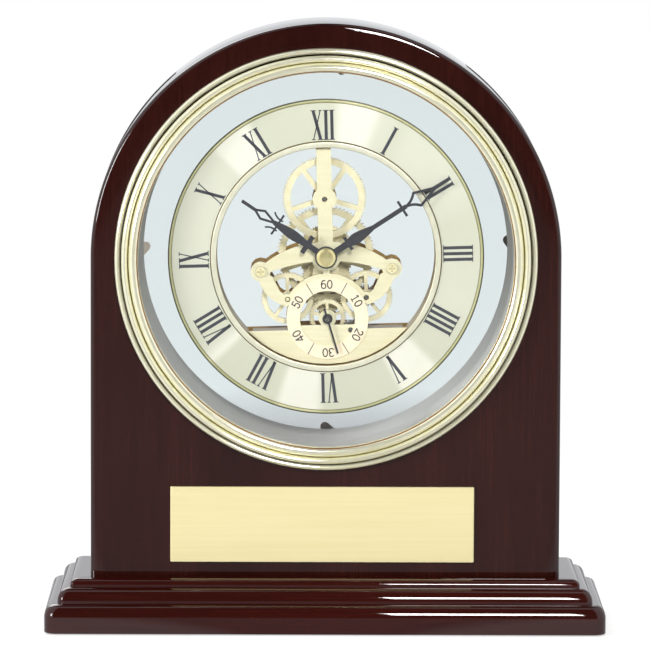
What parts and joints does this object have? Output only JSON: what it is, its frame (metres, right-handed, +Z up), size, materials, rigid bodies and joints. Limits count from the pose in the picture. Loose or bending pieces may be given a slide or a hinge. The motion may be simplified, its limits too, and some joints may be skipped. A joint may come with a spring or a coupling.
{
  "type": "desk clock",
  "caption": "Arched wooden desk clock on a stepped base, with a round glazed skeleton movement, turning hands and wheels, and a rear setting knob.",
  "frame": {"origin": "on the table under the middle of the base", "axes": "+Z up, the dial faces -Y, +X to the right of a person facing the dial"},
  "size_m": [0.187, 0.07, 0.2026],
  "materials": {
    "lacquered_wood": "dark red-brown, high-gloss lacquer",
    "felt": "short-pile felt",
    "polished_brass": "polished pale brass",
    "pale_brass": "satin pale brass",
    "chapter_metal": "champagne, circular brushed",
    "printed_ring": "cream print",
    "grey_plastic": "pale grey",
    "clear_glass": "clear",
    "clear_acrylic": "clear",
    "bronze": "bronzed",
    "steel": "bright",
    "hand_paint": "dark satin paint",
    "black_plastic": "moulded",
    "battery_jacket": "plain printed jacket",
    "board": "green laminate",
    "copper_wire": "enamelled copper wire"
  },
  "bodies": {
    "clock": {"base_plinth": "lacquered_wood", "base_felt": "felt", "case_screw_left": "steel", "case_screw_right": "steel", "arch_case": "lacquered_wood", "name_plate": "polished_brass", "bezel": "polished_brass", "front_glass": "clear_glass", "glass_gasket": "grey_plastic", "bore_sleeve": "grey_plastic", "rear_window": "clear_acrylic", "clip_screw_top": "steel", "clip_screw_right": "steel", "clip_screw_bottom": "steel", "clip_screw_left": "steel", "dial_disc": "clear_acrylic", "chapter_ring": "chapter_metal", "movement_ring": "polished_brass", "ring_nut": "polished_brass", "front_plate": "pale_brass", "rear_plate": "pale_brass", "seconds_dial": "printed_ring", "pillar_left": "pale_brass", "pillar_right": "pale_brass", "plate_screw_left": "polished_brass", "plate_screw_right": "polished_brass", "rear_screw_left": "polished_brass", "rear_screw_right": "polished_brass", "movement_floor": "pale_brass", "battery_box": "black_plastic", "battery": "battery_jacket", "contact_minus": "steel", "contact_plus": "steel", "circuit_board": "board", "drive_coil": "copper_wire", "quartz_crystal": "steel"},
    "centre": {"centre_wheel": "pale_brass"},
    "top": {"top_wheel": "pale_brass", "top_arbor": "steel"},
    "right": {"right_wheel": "pale_brass", "right_arbor": "steel"},
    "left": {"left_wheel": "pale_brass"},
    "seconds": {"seconds_wheel": "pale_brass", "seconds_arbor": "steel", "seconds_hand": "hand_paint"},
    "rotor": {"drive_rotor": "steel"},
    "third": {"third_wheel": "pale_brass"},
    "reduction": {"reduction_wheel": "pale_brass"},
    "minute": {"minute_arbor": "steel", "minute_hand": "hand_paint", "hand_nut": "polished_brass", "setting_knob": "polished_brass"},
    "minute_wheel": {"minute_wheel": "pale_brass"},
    "hour": {"hour_wheel": "pale_brass", "hour_hand": "hand_paint"},
    "clip_top": {"rear_clip_top": "bronze"},
    "clip_right": {"rear_clip_right": "bronze"},
    "clip_bottom": {"rear_clip_bottom": "bronze"},
    "clip_left": {"rear_clip_left": "bronze"}
  },
  "joints": [
    {"name": "centre_spin", "type": "hinge", "parent": "clock", "child": "centre", "pos_m": [0, 0, 0.1241], "axis": [0, 1, 0], "continuous": true},
    {"name": "top_spin", "type": "hinge", "parent": "clock", "child": "top", "pos_m": [-0.00053, 0, 0.14324], "axis": [0, 1, 0], "continuous": true},
    {"name": "right_spin", "type": "hinge", "parent": "clock", "child": "right", "pos_m": [0.01357, 0, 0.11029], "axis": [0, 1, 0], "continuous": true},
    {"name": "left_spin", "type": "hinge", "parent": "clock", "child": "left", "pos_m": [-0.01278, 0, 0.10955], "axis": [0, 1, 0], "continuous": true},
    {"name": "seconds_spin", "type": "hinge", "parent": "clock", "child": "seconds", "pos_m": [0.00058, 0, 0.10321], "axis": [0, 1, 0], "continuous": true},
    {"name": "rotor_spin", "type": "hinge", "parent": "clock", "child": "rotor", "pos_m": [0.00838, 0, 0.09934], "axis": [0, 1, 0], "continuous": true},
    {"name": "third_spin", "type": "hinge", "parent": "clock", "child": "third", "pos_m": [0.0003, 0, 0.11336], "axis": [0, 1, 0], "continuous": true},
    {"name": "reduction_spin", "type": "hinge", "parent": "clock", "child": "reduction", "pos_m": [0, 0, 0.1241], "axis": [0, 1, 0], "continuous": true},
    {"name": "minute_spin", "type": "hinge", "parent": "clock", "child": "minute", "pos_m": [0, 0, 0.1241], "axis": [0, 1, 0], "continuous": true},
    {"name": "minute_wheel_spin", "type": "hinge", "parent": "clock", "child": "minute_wheel", "pos_m": [0.00017, 0, 0.11786], "axis": [0, 1, 0], "continuous": true},
    {"name": "hour_spin", "type": "hinge", "parent": "clock", "child": "hour", "pos_m": [0, 0, 0.1241], "axis": [0, 1, 0], "continuous": true},
    {"name": "clip_top_turn", "type": "hinge", "parent": "clock", "child": "clip_top", "pos_m": [0, 0, 0.1936], "axis": [0, 1, 0], "range_deg": [-90, 90]},
    {"name": "clip_right_turn", "type": "hinge", "parent": "clock", "child": "clip_right", "pos_m": [0.06937, 0, 0.11986], "axis": [0, 1, 0], "range_deg": [-90, 90]},
    {"name": "clip_bottom_turn", "type": "hinge", "parent": "clock", "child": "clip_bottom", "pos_m": [0.00666, 0, 0.05492], "axis": [0, 1, 0], "range_deg": [-90, 90]},
    {"name": "clip_left_turn", "type": "hinge", "parent": "clock", "child": "clip_left", "pos_m": [-0.06924, 0, 0.11804], "axis": [0, 1, 0], "range_deg": [-90, 90]}
  ],
  "couplings": [
    {"joint": "top_spin", "follows": "centre_spin", "ratio": -5.0667},
    {"joint": "right_spin", "follows": "centre_spin", "ratio": -4.75},
    {"joint": "left_spin", "follows": "centre_spin", "ratio": -4.75},
    {"joint": "seconds_spin", "follows": "centre_spin", "ratio": 6.7857},
    {"joint": "rotor_spin", "follows": "centre_spin", "ratio": -15.833},
    {"joint": "third_spin", "follows": "centre_spin", "ratio": -0.90476},
    {"joint": "reduction_spin", "follows": "centre_spin", "ratio": 0.1131},
    {"joint": "minute_wheel_spin", "follows": "minute_spin", "ratio": -0.33333},
    {"joint": "hour_spin", "follows": "minute_spin", "ratio": 0.083333}
  ]
}
